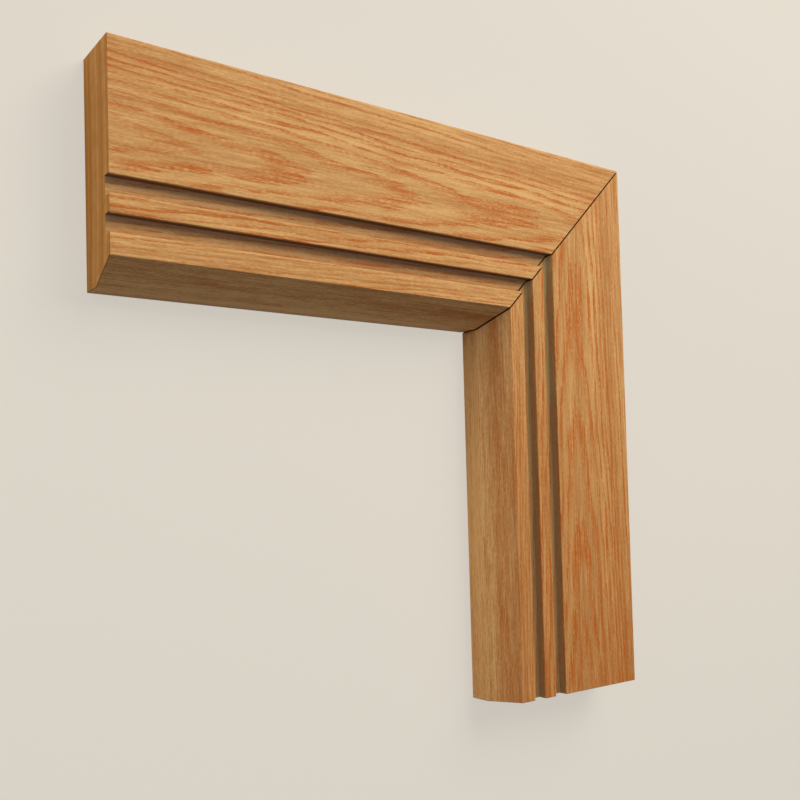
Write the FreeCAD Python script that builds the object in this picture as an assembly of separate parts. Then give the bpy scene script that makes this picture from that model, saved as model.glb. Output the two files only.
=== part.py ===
"""Mitred corner of an oak architrave: a head length and a leg length of one moulding.

The corner lies on its flat back with the moulded face up. The origin is the inside corner of the mitre
on the back plane. The head runs from the mitre towards -X, the leg runs from it towards -Y, and +Z
points out of the moulded face. Sizes are in millimetres.
"""

import FreeCAD
import Part
import math
import os

# Section, measured from the outer edge to the inner edge
FACE_WIDTH = 40.0
GROOVE_WIDTH = 5.5
REED_WIDTH = 5.5
EDGE_REED_WIDTH = 6.5
CHAMFER_RUN = 7.0
GROOVE_COUNT = 2

# Section, measured up from the back
THICKNESS = 20.0
EDGE_THICKNESS = 8.0
GROOVE_DEPTH = 3.5

# Sanding takes the front arrises off by this radius
ARRIS_RADIUS = 0.3

# Lengths along the outer edges, long point of the mitre to the square end
HEAD_LENGTH = 215.0
LEG_LENGTH = 210.0

# Width of the hairline that shows along the mitre
MITRE_JOINT = 0.5

# How far the saw cut runs past the wood
SAW_OVERRUN = 5.0

# Width of each reed, from the broad face to the chamfer
REED_WIDTHS = [REED_WIDTH] * (GROOVE_COUNT - 1) + [EDGE_REED_WIDTH]

MOULDING_WIDTH = FACE_WIDTH + GROOVE_COUNT * GROOVE_WIDTH + sum(REED_WIDTHS) + CHAMFER_RUN

X_AXIS = FreeCAD.Vector(1, 0, 0)
Y_AXIS = FreeCAD.Vector(0, 1, 0)
Z_AXIS = FreeCAD.Vector(0, 0, 1)


def section_corners():
    """Corners of the section as (distance from the outer edge, height, radius), round from the back."""
    groove_floor = THICKNESS - GROOVE_DEPTH
    corners = [(0, 0, 0), (0, THICKNESS, ARRIS_RADIUS)]
    across = FACE_WIDTH
    for reed_width in REED_WIDTHS:
        corners += [
            (across, THICKNESS, ARRIS_RADIUS),
            (across, groove_floor, 0),
            (across + GROOVE_WIDTH, groove_floor, 0),
            (across + GROOVE_WIDTH, THICKNESS, ARRIS_RADIUS),
        ]
        across += GROOVE_WIDTH + reed_width
    corners += [
        (across, THICKNESS, ARRIS_RADIUS),
        (MOULDING_WIDTH, EDGE_THICKNESS, ARRIS_RADIUS),
        (MOULDING_WIDTH, 0, 0),
    ]
    return corners


def eased_corner(before, corner, after, radius):
    """Start, middle and end of the arc that rounds a corner. All three are the corner where it is sharp."""
    if radius == 0:
        return corner, corner, corner
    back = (before - corner).normalize()
    forth = (after - corner).normalize()
    half_angle = back.getAngle(forth) / 2
    setback = radius / math.tan(half_angle)
    crown = radius / math.sin(half_angle) - radius
    bisector = (back + forth).normalize()
    return corner + back * setback, corner + bisector * crown, corner + forth * setback


def outline(points, radii):
    """Closed wire through the points, with each corner rounded by its radius."""
    count = len(points)
    arcs = [
        eased_corner(points[i - 1], points[i], points[(i + 1) % count], radii[i])
        for i in range(count)
    ]
    edges = []
    for i, (start, middle, end) in enumerate(arcs):
        if radii[i] > 0:
            edges.append(Part.Arc(start, middle, end).toShape())
        next_start = arcs[(i + 1) % count][0]
        edges.append(Part.LineSegment(end, next_start).toShape())
    return Part.Wire(edges)


def planed_stock(along, across, length):
    """Square-ended length of the moulding that runs along one axis up to the long point of its mitre."""
    square_end = along * (MOULDING_WIDTH - length)
    corners = section_corners()
    points = [square_end + across * (MOULDING_WIDTH - u) + Z_AXIS * v for u, v, _ in corners]
    radii = [radius for _, _, radius in corners]
    section = Part.Face(outline(points, radii))
    return section.extrude(along * length)


def mitre_waste(along, across):
    """Block that the mitre saw takes off, up to half the joint's width from the mitre plane."""
    joint_offset = MITRE_JOINT / 2 * math.sqrt(2)
    low = -SAW_OVERRUN
    high = MOULDING_WIDTH + SAW_OVERRUN
    plan = [
        along * (low - joint_offset) + across * low,
        along * (high - joint_offset) + across * high,
        along * high + across * high,
        along * high + across * low,
    ]
    triangle = Part.makePolygon([p - Z_AXIS * SAW_OVERRUN for p in plan + plan[:1]])
    return Part.Face(triangle).extrude(Z_AXIS * (THICKNESS + 2 * SAW_OVERRUN))


def mitred_length(along, across, length):
    """One length of the moulding, square at its far end and mitred at the corner."""
    return planed_stock(along, across, length).cut(mitre_waste(along, across))


def main():
    pieces = {
        "head_length": mitred_length(X_AXIS, Y_AXIS, HEAD_LENGTH),
        "leg_length": mitred_length(Y_AXIS, X_AXIS, LEG_LENGTH),
    }
    os.makedirs("parts", exist_ok=True)
    for name, piece in pieces.items():
        solid = piece.Solids[0]
        solid.exportStep(f"parts/{name}.step")
        box = solid.BoundBox
        print(f"{name}: valid {solid.isValid()}, {solid.Volume / 1000:.2f} cm3, {len(solid.Faces)} faces,")
        print(f"  X {box.XMin:.2f} to {box.XMax:.2f}, Y {box.YMin:.2f} to {box.YMax:.2f}, Z to {box.ZMax:.2f}")


main()
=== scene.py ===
"""Dress the mitred corner of an oak architrave: its eased edges, its grain, the light on it and the camera.

The corner lies on its flat back with the moulded face up. Lengths are in millimetres unless a comment says
otherwise, and they become metres where they reach a mesh, a lamp or the camera.
"""

import logging
import math
from dataclasses import dataclass, field
from enum import Enum
from typing import Any, NamedTuple, Sequence

import bpy
from mathutils import Matrix, Vector, noise


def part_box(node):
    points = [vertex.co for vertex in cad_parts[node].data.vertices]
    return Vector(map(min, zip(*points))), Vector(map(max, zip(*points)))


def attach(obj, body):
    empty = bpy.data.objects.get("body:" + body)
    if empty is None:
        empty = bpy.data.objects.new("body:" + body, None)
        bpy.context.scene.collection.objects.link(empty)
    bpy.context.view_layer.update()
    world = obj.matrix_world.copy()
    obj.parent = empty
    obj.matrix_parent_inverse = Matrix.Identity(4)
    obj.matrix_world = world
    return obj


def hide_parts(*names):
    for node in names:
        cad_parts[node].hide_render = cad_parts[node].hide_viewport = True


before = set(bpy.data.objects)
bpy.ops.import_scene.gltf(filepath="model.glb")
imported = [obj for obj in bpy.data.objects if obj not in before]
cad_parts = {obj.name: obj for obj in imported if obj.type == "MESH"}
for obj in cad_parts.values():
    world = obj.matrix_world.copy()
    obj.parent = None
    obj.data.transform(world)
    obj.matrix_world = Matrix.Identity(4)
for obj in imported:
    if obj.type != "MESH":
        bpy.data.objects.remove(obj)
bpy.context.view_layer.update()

MM = 0.001
LOG = logging.getLogger("architrave")

# Names of the marks that a mesh carries: wear on its arrises, and painted shade in its grooves, as a dark
# colour and as a grey tint
WORN = "worn"
DEEP_SHADE_MARK = "deep_shade_mark"
SHADE_TINT_MARK = "shade_tint_mark"

# Numbers of the two inputs that a Mix node mixes, as values and as colours
VALUE_A, VALUE_B = 2, 3
COLOUR_A, COLOUR_B = 6, 7

# Noise runs from nought to one, about this
NOISE_MIDDLE = 0.5

Socket = bpy.types.NodeSocket
Tree = bpy.types.NodeTree


def hex_to_linear(code: str) -> tuple[float, float, float, float]:
    """Turn an sRGB hex colour into the linear colour that a shader socket takes.

    Args:
        code: Colour as "#RRGGBB".

    Returns:
        Linear red, green, blue and an alpha of 1.
    """
    channels = [int(code[i:i + 2], 16) / 255 for i in (1, 3, 5)]
    linear = [c / 12.92 if c <= 0.04045 else ((c + 0.055) / 1.055) ** 2.4 for c in channels]
    return linear[0], linear[1], linear[2], 1.0


def bare_tree(owner: bpy.types.ID) -> Tree:
    """Empty node tree of a material or a world."""
    owner.use_nodes = True
    owner.node_tree.nodes.clear()
    return owner.node_tree


def add_node(
    tree: Tree, kind: str, settings: dict[str, Any], inputs: dict[Any, Any], output: str | None = None,
) -> Any:
    """Add a node, set it up and link it.

    Args:
        tree: Node tree that gets the node.
        kind: Blender's name for the node type.
        settings: The node's own properties.
        inputs: Socket name or number to the value it holds, or to the output that is linked to it.
        output: Name of the output that is wanted, where it isn't the first.

    Returns:
        That output, or the node itself where it has none.
    """
    node = tree.nodes.new(kind)
    for key, value in settings.items():
        setattr(node, key, value)
    for key, value in inputs.items():
        if isinstance(value, Socket):
            tree.links.new(value, node.inputs[key])
        else:
            node.inputs[key].default_value = value
    if output:
        return node.outputs[output]
    return next((out for out in node.outputs if out.enabled), node)


def add_object(name: str, data: bpy.types.ID) -> bpy.types.Object:
    """Put a mesh, a lamp or a camera into the scene."""
    made = bpy.data.objects.new(name, data)
    bpy.context.scene.collection.objects.link(made)
    return made


class Run(Enum):
    """Way that a length of the moulding runs, as the numbers of the part's axes along it and across it."""

    ALONG_X = (0, 1)
    ALONG_Y = (1, 0)

    def place(self, along: float, across: float, up: float) -> Vector:
        """Point in the part's frame, in metres, from millimetres along and across the length and up."""
        first, second = (along, across) if self is Run.ALONG_X else (across, along)
        return Vector((first, second, up)) * MM


class SectionPoint(NamedTuple):
    """Point of the section: where it is, how worn it is there, and how much painted shade it carries there,
    as a dark colour and as a grey tint.
    """

    place: Vector
    worn: float = 0.0
    deep_shade_mark: float = 0.0
    shade_tint_mark: float = 0.0


@dataclass(frozen=True)
class MouldingSection:
    """Section of the moulding, measured from its outer edge and up from its flat back."""

    width: float
    thickness: float
    face_width: float = 40.0
    groove_width: float = 5.5
    groove_depth: float = 3.5
    reed_widths: tuple[float, ...] = (5.5, 6.5)
    edge_thickness: float = 8.0

    # Steps round an eased arris, and the strip beside it that keeps the shading of the flat true
    arris_steps: int = 6
    flat_support: float = 0.4

    # Painted shade in a groove: its heights on the wall, its reach over the floor, and its shares off the
    # outer wall
    shade_top: float = 2.5
    shade_foot: float = 0.6
    shade_reach: float = 2.2
    inner_shade: float = 0.3
    floor_shade: float = 0.17

    def corners(self) -> list[tuple[Vector, bool]]:
        """Find the corners of the section, from the outer back corner round.

        Returns:
            Each corner, with whether its arris is eased.
        """
        floor = self.thickness - self.groove_depth
        found = [(0.0, 0.0, False), (0.0, self.thickness, True)]
        across = self.face_width
        for reed_width in self.reed_widths:
            found += [
                (across, self.thickness, True),
                (across, floor, False),
                (across + self.groove_width, floor, False),
                (across + self.groove_width, self.thickness, True),
            ]
            across += self.groove_width + reed_width
        found += [
            (across, self.thickness, True),
            (self.width, self.edge_thickness, True),
            (self.width, 0.0, False),
        ]
        return [(Vector((u, v)), eased) for u, v, eased in found]

    def groove_corner(self, corner: Vector, back: Vector, forth: Vector) -> list[SectionPoint]:
        """Mark the painted shade at a corner of a groove.

        The outer wall faces away from the main lamps and carries the most painted shade, both the dark colour
        and the grey tint. The inner corner has a little of the dark colour, and the floor between them a
        little of both.

        Args:
            corner: The corner.
            back: Direction back along the outline.
            forth: Direction on along the outline.

        Returns:
            Two points up the wall, the corner and a point on the floor, in the outline's order.
        """
        outer = back.y > 0
        up, out = (back, forth) if outer else (forth, back)
        # Painted shade: the outer wall carries it in full, and the inner corner only a little of the dark
        # colour
        wall, foot, shade_tint = (1.0, 0.0, 1.0) if outer else (self.inner_shade, self.inner_shade, 0.0)
        points = [
            SectionPoint(corner + up * self.shade_top, deep_shade_mark=wall, shade_tint_mark=shade_tint),
            SectionPoint(corner + up * self.shade_foot, deep_shade_mark=wall, shade_tint_mark=shade_tint),
            SectionPoint(corner, deep_shade_mark=foot, shade_tint_mark=shade_tint),
            SectionPoint(corner + out * self.shade_reach, deep_shade_mark=self.floor_shade, shade_tint_mark=self.floor_shade),
        ]
        return points if outer else points[::-1]

    def arris(self, corner: Vector, back: Vector, forth: Vector, radius: float) -> list[SectionPoint]:
        """Ease an arris to an arc.

        Args:
            corner: The corner before it is eased.
            back: Direction back along the outline.
            forth: Direction on along the outline.
            radius: Radius of the arc.

        Returns:
            The arc's points between two support points on the flats, in the outline's order.
        """
        half_angle = back.angle(forth) / 2
        setback = radius / math.tan(half_angle)
        centre = corner + (back + forth).normalized() * (radius / math.sin(half_angle))
        start = corner + back * setback - centre
        sweep = math.pi - 2 * half_angle
        turn = -1 if back.x * forth.y - back.y * forth.x > 0 else 1
        points = [SectionPoint(corner + back * (setback + self.flat_support))]
        for step in range(self.arris_steps + 1):
            angle = turn * sweep * step / self.arris_steps
            points.append(SectionPoint(centre + Matrix.Rotation(angle, 2) @ start, worn=1.0))
        points.append(SectionPoint(corner + forth * (setback + self.flat_support)))
        return points

    def outline(self, radii: Sequence[float]) -> list[SectionPoint]:
        """Draw the section with its eased arrises.

        Args:
            radii: Arris radius at each corner. A corner that isn't eased ignores its own.

        Returns:
            Points as (distance from the outer edge, height). Their number doesn't depend on the radii.
        """
        corners = self.corners()
        points: list[SectionPoint] = []
        for i, (corner, eased) in enumerate(corners):
            back = (corners[i - 1][0] - corner).normalized()
            forth = (corners[(i + 1) % len(corners)][0] - corner).normalized()
            on_back = corner.y == 0
            if eased:
                points += self.arris(corner, back, forth, radii[i])
            elif on_back:
                points.append(SectionPoint(corner))
            else:
                points += self.groove_corner(corner, back, forth)
        return points


def inset(outline: Sequence[SectionPoint], distance: float) -> list[SectionPoint]:
    """Move each point of a closed clockwise outline inwards, so that every side moves by the same distance.

    Args:
        outline: The outline's points.
        distance: How far each side moves.

    Returns:
        The moved points, as a freshly cut end has them, neither worn nor carrying painted shade.
    """
    moved = []
    for i, point in enumerate(outline):
        place = point.place
        before = (place - outline[i - 1].place).normalized()
        after = (outline[(i + 1) % len(outline)].place - place).normalized()
        first = Vector((before.y, -before.x))
        second = Vector((after.y, -after.x))
        shift = (first + second) * (distance / (1 + first.dot(second)))
        moved.append(SectionPoint(place + shift))
    return moved


class GrainLayer(NamedTuple):
    """Streaks of one size along the grain: length, width, octaves of finer noise, and strength."""

    length: float
    width: float
    detail: float
    amount: float


class BoardPlace(NamedTuple):
    """Place in a board, in millimetres: as a vector, and along the grain, across it and up from the back."""

    vector: Socket
    along: Socket
    across: Socket
    up: Socket


@dataclass(frozen=True)
class PlanedOak:
    """European oak, flat sawn, planed, sanded and oiled to a satin.

    The eye gets honey-coloured wood whose rings are cut at a slant. Each year's growth darkens to orange
    brown and ends at an edge, so that the rings draw feathered arches up the middle of the face and straight
    streaks beside them. Fine fibres run along the grain. A sawn end is darker and striped, and the mitre's
    own face is painted dark as shade down the joint. Painted shade darkens the upper faces towards the square
    end, painted light pales the inner edge, and the grooves carry painted shade: a dark colour and a grey
    tint.
    """

    name: str
    run: Run

    # Where the board lies in the noise that draws its streaks
    cut_from: tuple[float, float, float] = (5310.0, 640.0, 570.0)
    noise_roughness: float = 0.55

    # Ground from pale to tan, with broad streaks in it
    pale: str = "#DFAE6F"
    tan: str = "#A25F25"
    level: float = 0.28
    shades: tuple[GrainLayer, ...] = (
        GrainLayer(110.0, 6.0, 1.0, 0.8),
        GrainLayer(60.0, 2.2, 1.0, 0.7),
    )

    # Fibres, which stand out a little from the planed surface
    fibres: tuple[GrainLayer, ...] = (
        GrainLayer(20.0, 1.0, 1.0, 0.62),
        GrainLayer(7.0, 0.52, 1.0, 0.6),
        GrainLayer(1.5, 0.33, 0.0, 0.5),
    )
    relief_strength: float = 0.3
    relief_depth: float = 0.05

    # Rings round a pith that lies under the board and slopes along it, sharpened to a peak above the pith
    pith_across: float = 41.0
    pith_depth: float = 100.0
    run_out: float = 0.0085
    ring_spacing: float = 0.392
    first_year: float = 0.246
    peak: float = 0.0235
    peak_radius: float = 1.2
    bends: tuple[GrainLayer, ...] = (
        GrainLayer(70.0, 12.0, 1.0, 1.6),
        GrainLayer(30.0, 2.4, 1.0, 0.8),
        GrainLayer(12.0, 0.6, 1.0, 0.4),
    )

    # Colour of the rings: when in the year it starts, is full and ends, and how years and spells vary
    orange: str = "#BD611B"
    band: float = 0.75
    band_start: float = 0.3
    band_full: float = 0.90
    band_end: float = 0.92
    weakest_year: float = 0.4
    spell_years: float = 5.0
    climate: float = 0.2
    ring_lines: float = 3.4

    # Cuts across the grain, told by how far the surface faces along it, the stripes on a sawn end, and the
    # dark colour painted on the mitre's own face as shade down the joint
    sawn_limits: tuple[float, float] = (0.45, 0.65)
    sawn_end: str = "#9A5F08"
    joint_limits: tuple[float, float] = (0.35, 0.45)
    joint_shade: str = "#4A2D16"
    end_fibres: float = 0.2
    stripe_width: float = 3.2
    stripe_cup: float = 0.001
    stripe_detail: float = 2.0
    stripe_limits: tuple[float, float] = (0.35, 0.65)
    stripe_share: float = 0.55

    # Painted shade that darkens the upper faces towards the square end, wear on the arrises, and painted
    # light that pales the inner edge
    falloff_shade: float = 0.02
    falloff_length: float = 200.0
    falloff_from_height: float = 6.0
    falloff_to_height: float = 17.0
    wear: float = 0.06
    lit_edge_width: float = 0.6
    lit_edge_paleness: float = 0.36

    # Painted shade in the grooves: a grey tint, and a dark colour
    shade_tint: str = "#C6B490"
    shade_tint_share: float = 0.6
    deep_shade: str = "#241A10"
    deep_shade_share: float = 0.75

    # Satin of the oil
    roughness: float = 0.62
    specular: float = 0.15

    def material(self, square_end: float) -> bpy.types.Material:
        """Make the material.

        Args:
            square_end: Where the square end of the length lies along the grain.

        Returns:
            A material whose patterns follow the object's own coordinates.
        """
        made = bpy.data.materials.new(self.name)
        tree = bare_tree(made)
        board = self.place_in_board(tree, square_end)
        sawn, joint = self.cut_across(tree)
        rings = self.ring_bands(tree, self.ring_phase(tree, board))
        fibres = self.add_streaks(tree, board, self.fibres, 0.0)
        # Painted shade: the upper faces darken towards the square end
        painted_falloff = self.painted_falloff(tree, board)
        tone = self.tone(tree, board, fibres, sawn, painted_falloff)
        figure = self.figure(tree, rings, fibres, sawn, painted_falloff)
        end_share = add_node(tree, "ShaderNodeMath", {"operation": "MULTIPLY"}, {
            0: sawn, 1: self.end_stripes(tree, board)})
        colour = self.colour(tree, tone, figure, end_share, joint)
        relief = add_node(tree, "ShaderNodeBump", {}, {
            "Strength": self.relief_strength, "Distance": self.relief_depth * MM, "Height": fibres})
        shader = add_node(tree, "ShaderNodeBsdfPrincipled", {}, {
            "Base Color": colour, "Roughness": self.roughness, "Specular IOR Level": self.specular,
            "Normal": relief})
        add_node(tree, "ShaderNodeOutputMaterial", {}, {"Surface": shader})
        return made

    def place_in_board(self, tree: Tree, square_end: float) -> BoardPlace:
        """Measure along the grain from the square end, across it from the inner edge, and up from the back.

        Args:
            tree: The material's node tree.
            square_end: Where the square end of the length lies along the grain.

        Returns:
            The place in the board.
        """
        place = add_node(tree, "ShaderNodeTexCoord", {}, {}, "Object")
        axes = tree.nodes.new("ShaderNodeSeparateXYZ")
        tree.links.new(place, axes.inputs[0])
        along, across = self.run.value
        joined = add_node(tree, "ShaderNodeCombineXYZ", {}, {
            "X": axes.outputs[along], "Y": axes.outputs[across], "Z": axes.outputs["Z"]})
        scaled = add_node(tree, "ShaderNodeVectorMath", {"operation": "SCALE"}, {0: joined, "Scale": 1 / MM})
        vector = add_node(tree, "ShaderNodeVectorMath", {"operation": "SUBTRACT"}, {
            0: scaled, 1: (square_end, 0.0, 0.0)})
        parts = tree.nodes.new("ShaderNodeSeparateXYZ")
        tree.links.new(vector, parts.inputs[0])
        return BoardPlace(vector, *parts.outputs)

    def cut_across(self, tree: Tree) -> tuple[Socket, Socket]:
        """Find where the surface is cut across the grain.

        Args:
            tree: The material's node tree.

        Returns:
            One on a sawn end and nought along the grain, and one on the mitre's own face.
        """
        facing = add_node(tree, "ShaderNodeTexCoord", {}, {}, "Normal")
        axes = tree.nodes.new("ShaderNodeSeparateXYZ")
        tree.links.new(facing, axes.inputs[0])
        along, across = (
            add_node(tree, "ShaderNodeMath", {"operation": "ABSOLUTE"}, {0: axes.outputs[axis]})
            for axis in self.run.value
        )
        slant = add_node(tree, "ShaderNodeMath", {"operation": "MULTIPLY"}, {0: along, 1: across})
        sawn, joint = (
            add_node(tree, "ShaderNodeMapRange", {"interpolation_type": "SMOOTHSTEP"}, {
                "Value": turned, "From Min": low, "From Max": high})
            for turned, (low, high) in ((along, self.sawn_limits), (slant, self.joint_limits))
        )
        return sawn, joint

    def add_streaks(self, tree: Tree, board: BoardPlace, layers: Sequence[GrainLayer], start: Any) -> Socket:
        """Add layers of noise that is drawn out along the grain.

        Args:
            tree: The material's node tree.
            board: Place in the board.
            layers: The layers.
            start: Value or output that they are added to.

        Returns:
            The sum. Each layer lies about nought.
        """
        moved = add_node(tree, "ShaderNodeVectorMath", {"operation": "ADD"}, {
            0: board.vector, 1: self.cut_from})
        total = start
        for layer in layers:
            squeezed = add_node(tree, "ShaderNodeVectorMath", {"operation": "MULTIPLY"}, {
                0: moved, 1: (1 / layer.length, 1 / layer.width, 1 / layer.width)})
            wave = add_node(tree, "ShaderNodeTexNoise", {"noise_dimensions": "3D"}, {
                "Vector": squeezed, "Scale": 1.0, "Detail": layer.detail, "Roughness": self.noise_roughness})
            about_nought = add_node(tree, "ShaderNodeMath", {"operation": "SUBTRACT"}, {
                0: wave, 1: NOISE_MIDDLE})
            total = add_node(tree, "ShaderNodeMath", {"operation": "MULTIPLY_ADD"}, {
                0: about_nought, 1: layer.amount, 2: total})
        return total

    def ring_phase(self, tree: Tree, board: BoardPlace) -> Socket:
        """Count the years from the pith.

        Args:
            tree: The material's node tree.
            board: Place in the board.

        Returns:
            Number of years, bent by the way the tree grew.
        """
        aside = add_node(tree, "ShaderNodeMath", {"operation": "SUBTRACT"}, {
            0: board.across, 1: self.pith_across})
        sloped = add_node(tree, "ShaderNodeMath", {"operation": "MULTIPLY_ADD"}, {
            0: board.along, 1: self.run_out, 2: self.pith_depth})
        above = add_node(tree, "ShaderNodeMath", {"operation": "ADD"}, {0: board.up, 1: sloped})
        radius, ridge = (
            add_node(tree, "ShaderNodeVectorMath", {"operation": "LENGTH"}, {
                0: add_node(tree, "ShaderNodeCombineXYZ", {}, {"Y": aside, "Z": height})})
            for height in (above, self.peak_radius)
        )
        peaked = add_node(tree, "ShaderNodeMath", {"operation": "MULTIPLY_ADD"}, {
            0: ridge, 1: self.peak, 2: radius})
        years = add_node(tree, "ShaderNodeMath", {"operation": "MULTIPLY_ADD"}, {
            0: peaked, 1: 1 / self.ring_spacing, 2: self.first_year})
        return self.add_streaks(tree, board, self.bends, years)

    def ring_bands(self, tree: Tree, years: Socket) -> Socket:
        """Darken each year's growth slowly and end it sharply, more in some years than in others.

        Args:
            tree: The material's node tree.
            years: Number of years from the pith.

        Returns:
            Darkness of the rings.
        """
        season = add_node(tree, "ShaderNodeMath", {"operation": "FRACT"}, {0: years})
        growing = add_node(tree, "ShaderNodeMapRange", {"interpolation_type": "SMOOTHSTEP"}, {
            "Value": season, "From Min": self.band_start, "From Max": self.band_full})
        ending = add_node(tree, "ShaderNodeMapRange", {"interpolation_type": "SMOOTHSTEP"}, {
            "Value": season, "From Min": self.band_end, "From Max": 1.0, "To Min": 1.0, "To Max": 0.0})
        year = add_node(tree, "ShaderNodeMath", {"operation": "FLOOR"}, {0: years})
        luck = add_node(tree, "ShaderNodeTexWhiteNoise", {"noise_dimensions": "1D"}, {"W": year}, "Value")
        strength = add_node(tree, "ShaderNodeMapRange", {}, {
            "Value": luck, "To Min": self.weakest_year, "To Max": 1.0})
        grown = add_node(tree, "ShaderNodeMath", {"operation": "MULTIPLY"}, {0: growing, 1: ending})
        bands = add_node(tree, "ShaderNodeMath", {"operation": "MULTIPLY"}, {0: grown, 1: strength})
        spell = add_node(tree, "ShaderNodeMath", {"operation": "MULTIPLY"}, {
            0: years, 1: 1 / self.spell_years})
        weather = add_node(tree, "ShaderNodeTexNoise", {"noise_dimensions": "1D"}, {
            "W": spell, "Scale": 1.0, "Detail": 1.0})
        poor = add_node(tree, "ShaderNodeMath", {"operation": "MULTIPLY_ADD"}, {
            0: weather, 1: self.climate, 2: -self.climate * NOISE_MIDDLE})
        return add_node(tree, "ShaderNodeMath", {"operation": "MULTIPLY_ADD"}, {
            0: bands, 1: self.band, 2: poor})

    def painted_falloff(self, tree: Tree, board: BoardPlace) -> Socket:
        """Paint shade on the upper faces, most at the square end and less towards the mitre.

        Args:
            tree: The material's node tree.
            board: Place in the board.

        Returns:
            Share of the painted shade.
        """
        towards_end = add_node(tree, "ShaderNodeMapRange", {}, {
            "Value": board.along, "From Max": self.falloff_length, "To Min": self.falloff_shade, "To Max": 0.0})
        upper_faces = add_node(tree, "ShaderNodeMapRange", {"interpolation_type": "SMOOTHSTEP"}, {
            "Value": board.up, "From Min": self.falloff_from_height, "From Max": self.falloff_to_height})
        return add_node(tree, "ShaderNodeMath", {"operation": "MULTIPLY"}, {0: towards_end, 1: upper_faces})

    def tone(self, tree: Tree, board: BoardPlace, fibres: Socket, sawn: Socket, painted_falloff: Socket) -> Socket:
        """Darken the ground with streaks, fibres and the painted shade towards the square end, and pale it
        where it is worn and with painted light on the inner edge.

        Args:
            tree: The material's node tree.
            board: Place in the board.
            fibres: Darkness of the fibres, about nought.
            sawn: One where the surface is cut across the grain.
            painted_falloff: Share of the painted shade on the upper faces.

        Returns:
            How dark the ground is, from nought at the palest to one.
        """
        ground = add_node(tree, "ShaderNodeMath", {"operation": "ADD"}, {0: painted_falloff, 1: self.level})
        shaded = self.add_streaks(tree, board, self.shades, ground)
        clearness = add_node(tree, "ShaderNodeMapRange", {}, {
            "Value": sawn, "To Min": 1.0, "To Max": self.end_fibres})
        lined = add_node(tree, "ShaderNodeMath", {"operation": "MULTIPLY_ADD"}, {
            0: fibres, 1: clearness, 2: shaded})
        rubbed = add_node(tree, "ShaderNodeMath", {"operation": "SUBTRACT"}, {
            0: lined, 1: self.marked_share(tree, WORN, self.wear)})
        # Painted light: the inner edge is paled
        lit_edge = add_node(tree, "ShaderNodeMapRange", {"interpolation_type": "SMOOTHSTEP"}, {
            "Value": board.across, "From Min": 0.0, "From Max": self.lit_edge_width,
            "To Min": self.lit_edge_paleness, "To Max": 0.0})
        return add_node(tree, "ShaderNodeMath", {"operation": "SUBTRACT"}, {0: rubbed, 1: lit_edge})

    def end_stripes(self, tree: Tree, board: BoardPlace) -> Socket:
        """Stripe a sawn end. Its rings are too fine to show, so a stripe is drawn as wide as several years.

        Args:
            tree: The material's node tree.
            board: Place in the board.

        Returns:
            Darkness of the end.
        """
        aside = add_node(tree, "ShaderNodeMath", {"operation": "SUBTRACT"}, {
            0: board.across, 1: self.pith_across})
        square = add_node(tree, "ShaderNodeMath", {"operation": "MULTIPLY"}, {0: aside, 1: aside})
        cupped = add_node(tree, "ShaderNodeMath", {"operation": "MULTIPLY_ADD"}, {
            0: square, 1: self.stripe_cup, 2: board.up})
        wave = add_node(tree, "ShaderNodeTexNoise", {"noise_dimensions": "1D"}, {
            "W": cupped, "Scale": 1 / self.stripe_width, "Detail": self.stripe_detail})
        low, high = self.stripe_limits
        return add_node(tree, "ShaderNodeMapRange", {}, {
            "Value": wave, "From Min": low, "From Max": high, "To Min": self.stripe_share})

    def figure(self, tree: Tree, rings: Socket, fibres: Socket, sawn: Socket, painted_falloff: Socket) -> Socket:
        """Turn the ground orange in the rings, which the fibres break up along the grain, and with the
        painted shade.

        Args:
            tree: The material's node tree.
            rings: Darkness of the rings.
            fibres: Darkness of the fibres, about nought.
            sawn: One where the surface is cut across the grain.
            painted_falloff: Share of the painted shade on the upper faces, which also turns them orange.

        Returns:
            Share of the orange.
        """
        broken = add_node(tree, "ShaderNodeMath", {"operation": "MULTIPLY_ADD"}, {
            0: fibres, 1: self.ring_lines, 2: 1.0})
        along = add_node(tree, "ShaderNodeMath", {"operation": "MULTIPLY_ADD", "use_clamp": True}, {
            0: rings, 1: broken, 2: painted_falloff})
        return add_node(tree, "ShaderNodeMix", {"data_type": "FLOAT"}, {
            "Factor": sawn, VALUE_A: along, VALUE_B: 0.0})

    def colour(self, tree: Tree, tone: Socket, figure: Socket, end_share: Socket, joint: Socket) -> Socket:
        """Lay the colours over each other, from the ground to the painted shade in the grooves and on the
        mitre's own face.

        Args:
            tree: The material's node tree.
            tone: How dark the ground is.
            figure: Share of the orange.
            end_share: Share of a sawn end's colour.
            joint: One on the mitre's own face.

        Returns:
            Colour of the surface.
        """
        colour = add_node(tree, "ShaderNodeMix", {"data_type": "RGBA"}, {
            "Factor": tone, COLOUR_A: hex_to_linear(self.pale), COLOUR_B: hex_to_linear(self.tan)})
        # Painted shade: the grey tint and the dark colour in the grooves, and the dark colour on the mitre's
        # own face
        layers = [
            (self.marked_share(tree, SHADE_TINT_MARK, self.shade_tint_share), self.shade_tint),
            (figure, self.orange),
            (end_share, self.sawn_end),
            (self.marked_share(tree, DEEP_SHADE_MARK, self.deep_shade_share), self.deep_shade),
            (joint, self.joint_shade),
        ]
        for share, code in layers:
            colour = add_node(tree, "ShaderNodeMix", {"data_type": "RGBA"}, {
                "Factor": share, COLOUR_A: colour, COLOUR_B: hex_to_linear(code)})
        return colour

    def marked_share(self, tree: Tree, mark: str, share: float) -> Socket:
        """Share of a change to the surface, where the mesh carries a mark for it."""
        marked = add_node(tree, "ShaderNodeAttribute", {"attribute_name": mark}, {}, "Fac")
        return add_node(tree, "ShaderNodeMath", {"operation": "MULTIPLY"}, {0: marked, 1: share})


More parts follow.
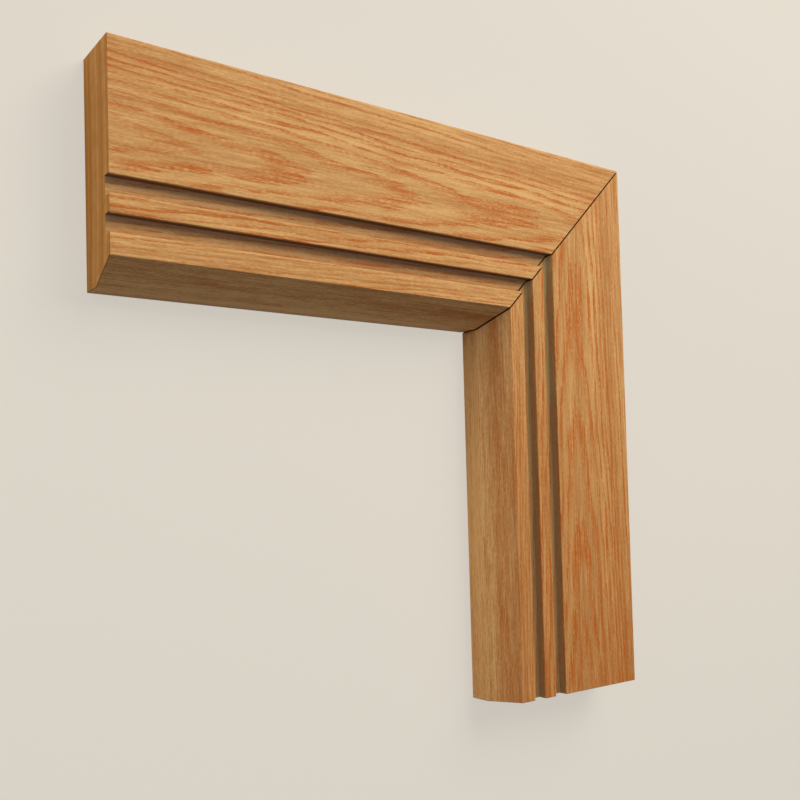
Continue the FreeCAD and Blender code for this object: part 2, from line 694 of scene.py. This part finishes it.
@dataclass
class MitredLength:
    """One length of the moulding, square at its far end and mitred at the corner."""

    name: str
    node: str
    slot: str
    run: Run
    finish: PlanedOak
    mitre_joint: float = 0.5
    end_easing: float = 0.15
    mitre_easing: float = 0.1

    # Arrises as hand sanding leaves them: how far a radius wanders, over what length, and how unlike the rest
    arris_radius: float = 0.3
    arris_unevenness: float = 0.3
    wander_length: float = 17.0
    wander_apart: float = 3.7
    wander_start: float = 0.5

    # Spacing of the mesh's rings, and the angle in degrees from which an edge is sharp
    ring_gap: float = 2.5
    sharp_angle: float = 30.0

    section: MouldingSection = field(init=False)
    square_end: float = field(init=False)

    def __post_init__(self) -> None:
        """Take the overall sizes from the part."""
        low, high = (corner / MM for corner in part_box(self.node))
        along, across = self.run.value
        self.section = MouldingSection(width=high[across] - low[across], thickness=high.z)
        self.square_end = low[along]

    def radii(self, along: float) -> list[float]:
        """Find the arris radii at one place.

        Args:
            along: Distance along the length.

        Returns:
            A radius for each corner of the section.
        """
        count = len(self.section.corners())
        far = along / self.wander_length
        wander = [noise.noise(Vector((far, i * self.wander_apart, self.wander_start))) for i in range(count)]
        return [self.arris_radius * (1 + self.arris_unevenness * w) for w in wander]

    def rings(self) -> list[list[tuple[float, SectionPoint]]]:
        """Repeat the section from the square end to the mitre.

        Returns:
            For each ring its points, as the distance along the length and the point of the section.
        """
        half_joint = self.mitre_joint / 2 * math.sqrt(2)
        width = self.section.width
        longest = width - self.square_end
        count = math.ceil(longest / self.ring_gap)
        first = self.section.outline(self.radii(self.square_end))
        rings = [[(self.square_end, point) for point in inset(first, self.end_easing)]]
        for station in range(count + 1):
            share = station / count
            radii = self.radii(self.square_end + share * longest)
            start = self.square_end + self.end_easing
            ring = []
            for point in self.section.outline(radii):
                end = width - point.place.x - half_joint - self.mitre_easing
                ring.append((start + share * (end - start), point))
            rings.append(ring)
        last = inset([point for _, point in rings[-1]], self.mitre_easing)
        rings.append([(width - point.place.x - half_joint, point) for point in last])
        return rings

    def faces(self, ring_count: int, size: int) -> list[list[int]]:
        """Join the rings by faces and close both ends.

        Args:
            ring_count: Number of rings.
            size: Number of points in a ring.

        Returns:
            The points of each face, which is turned outwards.
        """
        faces = []
        for near in range(0, (ring_count - 1) * size, size):
            far = near + size
            for i in range(size):
                j = (i + 1) % size
                faces.append([near + i, near + j, far + j, far + i])
        last = (ring_count - 1) * size
        faces.append(list(range(size))[::-1])
        faces.append(list(range(last, last + size)))
        if self.run is Run.ALONG_X:
            faces = [face[::-1] for face in faces]
        return faces

    def mesh(self) -> bpy.types.Mesh:
        """Make the mesh.

        Returns:
            The mesh, smooth between its sharp edges, with the marks for its wear and its painted shade.
        """
        rings = self.rings()
        spots = [spot for ring in rings for spot in ring]
        width = self.section.width
        places = [self.run.place(along, width - point.place.x, point.place.y) for along, point in spots]
        mesh = bpy.data.meshes.new(self.name)
        mesh.from_pydata(places, [], self.faces(len(rings), len(rings[0])))
        for mark in (WORN, DEEP_SHADE_MARK, SHADE_TINT_MARK):
            values = [getattr(point, mark) for _, point in spots]
            mesh.attributes.new(mark, "FLOAT", "POINT").data.foreach_set("value", values)
        mesh.shade_smooth()
        mesh.set_sharp_from_angle(angle=math.radians(self.sharp_angle))
        mesh.validate()
        return mesh

    def build(self) -> bpy.types.Object:
        """Make the piece, dress it and put it in place of the CAD solid.

        Returns:
            The finished piece.
        """
        piece = add_object(self.name, self.mesh())
        piece.data.materials.append(self.finish.material(self.square_end))
        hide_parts(self.node)
        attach(piece, "root")
        return piece


class Lamp(NamedTuple):
    """Soft lamp: its place, its width level with the floor, its height, its power in watts and its colour.

    The spread is the angle in degrees that it shines into, which a grid on it narrows.
    """

    name: str
    place: tuple[float, float, float]
    width: float
    height: float
    watts: float
    colour: str
    spread: float = 180.0


@dataclass(frozen=True)
class Studio:
    """Pale floor, soft light from beyond the head and from its free end, and the camera."""

    # Floor, which looks paler than the light that it throws back
    floor_size: float = 12000.0
    floor_colour: str = "#E1DACE"
    floor_bounce: str = "#D5CCBE"
    floor_glow: float = 0.75
    floor_roughness: float = 0.9
    floor_specular: float = 0.1

    # Lamps, and a faint blue fill from all round
    lamps: tuple[Lamp, ...] = (
        Lamp("key", (230.0, 580.0, 590.0), 750.0, 750.0, 5.2, "#FFFDF3"),
        Lamp("far", (650.0, 800.0, 950.0), 850.0, 850.0, 10.0, "#FFF4DA"),
        Lamp("left", (-700.0, 100.0, 700.0), 900.0, 900.0, 1.65, "#FFFFFF"),
        Lamp("low", (-800.0, 200.0, 66.0), 420.0, 110.0, 0.82, "#FFFBEE", 120.0),
    )
    fill_colour: str = "#ADCEFC"
    fill_strength: float = 0.16

    # Camera: its lean in degrees, and its shift as a share of the picture
    eye: tuple[float, float, float] = (-234.7, -62.0, 274.0)
    aim: tuple[float, float, float] = (-42.2, -50.8, 10.0)
    lean: float = 1.88
    lens: float = 42.1
    shift: tuple[float, float] = (0.009, 0.0786)
    nearest: float = 10.0

    def build(self) -> None:
        """Set up the floor, the light and the camera."""
        self.floor()
        for lamp in self.lamps:
            self.hang(lamp)
        self.fill()
        self.camera()

    def floor(self) -> None:
        """Lay a floor with matt paint under the corner. Seen, it is even and pale, as if well lit."""
        half = self.floor_size / 2 * MM
        corners = [(-half, -half, 0), (half, -half, 0), (half, half, 0), (-half, half, 0)]
        mesh = bpy.data.meshes.new("floor")
        mesh.from_pydata(corners, [], [(0, 1, 2, 3)])
        paint = bpy.data.materials.new("matt_floor_paint")
        tree = bare_tree(paint)
        seen = self.seen_rays(tree)
        colour = add_node(tree, "ShaderNodeMix", {"data_type": "RGBA"}, {
            "Factor": seen, COLOUR_A: hex_to_linear(self.floor_bounce),
            COLOUR_B: hex_to_linear(self.floor_colour)})
        matt = add_node(tree, "ShaderNodeBsdfPrincipled", {}, {
            "Base Color": colour, "Roughness": self.floor_roughness,
            "Specular IOR Level": self.floor_specular})
        lit = add_node(tree, "ShaderNodeEmission", {}, {"Color": hex_to_linear(self.floor_colour)})
        share = add_node(tree, "ShaderNodeMath", {"operation": "MULTIPLY"}, {0: seen, 1: self.floor_glow})
        shader = add_node(tree, "ShaderNodeMixShader", {}, {0: share, 1: matt, 2: lit})
        add_node(tree, "ShaderNodeOutputMaterial", {}, {"Surface": shader})
        mesh.materials.append(paint)
        floor = add_object("floor", mesh)

    def hang(self, lamp: Lamp) -> None:
        """Hang a lamp that faces the corner.

        Args:
            lamp: The lamp.
        """
        light = bpy.data.lights.new(lamp.name, "AREA")
        light.shape = "RECTANGLE"
        light.size = lamp.width * MM
        light.size_y = lamp.height * MM
        light.spread = math.radians(lamp.spread)
        light.energy = lamp.watts
        light.color = hex_to_linear(lamp.colour)[:3]
        hung = add_object(lamp.name, light)
        hung.location = Vector(lamp.place) * MM
        hung.rotation_euler = (-Vector(lamp.place)).to_track_quat("-Z", "Y").to_euler()

    def fill(self) -> None:
        """Fill the shade from all round, behind a view that shows only the floor's colour."""
        world = bpy.data.worlds.new("studio")
        bpy.context.scene.world = world
        tree = bare_tree(world)
        fill = add_node(tree, "ShaderNodeBackground", {}, {
            "Color": hex_to_linear(self.fill_colour), "Strength": self.fill_strength})
        shown = add_node(tree, "ShaderNodeBackground", {}, {"Color": hex_to_linear(self.floor_colour)})
        sky = add_node(tree, "ShaderNodeMixShader", {}, {0: self.seen_rays(tree), 1: fill, 2: shown})
        add_node(tree, "ShaderNodeOutputWorld", {}, {"Surface": sky})

    def seen_rays(self, tree: Tree) -> Socket:
        """Tell the rays that show a surface to the camera from those that carry its light.

        Args:
            tree: Node tree of the floor's paint or of the world.

        Returns:
            One for a ray that is seen, straight or in a gloss, and nought for the others.
        """
        rays = tree.nodes.new("ShaderNodeLightPath")
        seen = rays.outputs["Is Camera Ray"]
        for kind in ("Is Glossy Ray", "Is Transmission Ray"):
            seen = add_node(tree, "ShaderNodeMath", {"operation": "MAXIMUM"}, {
                0: seen, 1: rays.outputs[kind]})
        return seen

    def camera(self) -> None:
        """Look down on the corner from beyond the head's free end."""
        eye = Vector(self.eye) * MM
        forward = (Vector(self.aim) * MM - eye).normalized()
        upright = Vector((math.tan(math.radians(self.lean)), 1.0, 0.0))
        right = forward.cross(upright).normalized()
        data = bpy.data.cameras.new("camera")
        data.lens = self.lens
        data.shift_x, data.shift_y = self.shift
        data.clip_start = self.nearest * MM
        turn = Matrix((right, right.cross(forward), -forward)).transposed()
        view = add_object("camera", data)
        view.matrix_world = Matrix.Translation(eye) @ turn.to_4x4()
        bpy.context.scene.camera = view


def main() -> None:
    """Build the two lengths and the studio round them."""
    logging.basicConfig(level=logging.INFO, format="%(name)s: %(message)s")
    bpy.context.scene.view_settings.view_transform = "Standard"
    head_oak = PlanedOak("planed_oak_head", Run.ALONG_X)
    # The leg carries more painted shade towards its foot, and in its grooves more grey tint and less dark
    # colour
    leg_oak = PlanedOak(
        "planed_oak_leg", Run.ALONG_Y,
        level=0.32, falloff_shade=0.19, shade_tint="#C4BA84", shade_tint_share=0.9, deep_shade_share=0.17,
    )
    lengths = [
        MitredLength("architrave_head", "head_length", "head_oak", Run.ALONG_X, head_oak),
        MitredLength("architrave_leg", "leg_length", "leg_oak", Run.ALONG_Y, leg_oak),
    ]
    for length in lengths:
        piece = length.build()
        LOG.info("%s: %d faces", piece.name, len(piece.data.polygons))
    Studio().build()


if __name__ == "__main__":
    main()
